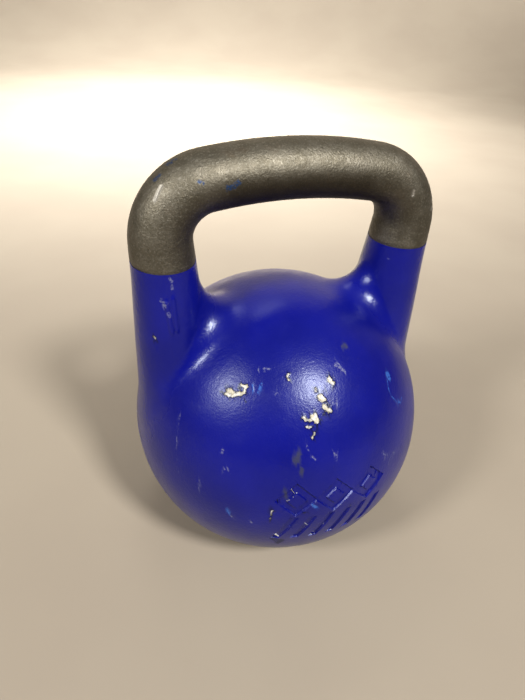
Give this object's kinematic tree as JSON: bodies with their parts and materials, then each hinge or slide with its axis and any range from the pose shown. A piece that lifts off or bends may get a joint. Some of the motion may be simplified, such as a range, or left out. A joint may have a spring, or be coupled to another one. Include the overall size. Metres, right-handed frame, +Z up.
{
  "type": "competition kettlebell",
  "caption": "Hollow cast-steel kettlebell with a blue enamelled round body, a bare arched grip on two horns and a flat base closed by a screwed plug.",
  "frame": {"origin": "centre of the flat base, on the floor", "axes": "+Z up, +X along the grip bar, the face with the recessed pattern towards -Y"},
  "size_m": [0.21, 0.21, 0.2855],
  "materials": {
    "cast_steel": "bare cast steel, fine pebbled skin, satin and worn shiny on the grip",
    "filler": "matt cream polyester filler, seen only in chips",
    "blue_enamel": "semi-gloss ultramarine enamel with light orange peel, chips and scuffs",
    "rigid_foam": "rigid polyurethane foam",
    "iron_shot_resin": "iron shot set in resin",
    "turned_steel": "turned steel with light tool marks",
    "red_fibre": "vulcanised fibre washer"
  },
  "bodies": {
    "root": {"cast_body": "cast_steel", "filler_coat": "filler", "enamel_coat": "blue_enamel", "foam_fill": "rigid_foam", "ballast": "iron_shot_resin", "base_plug": "turned_steel", "plug_seal": "red_fibre"}
  },
  "joints": []
}
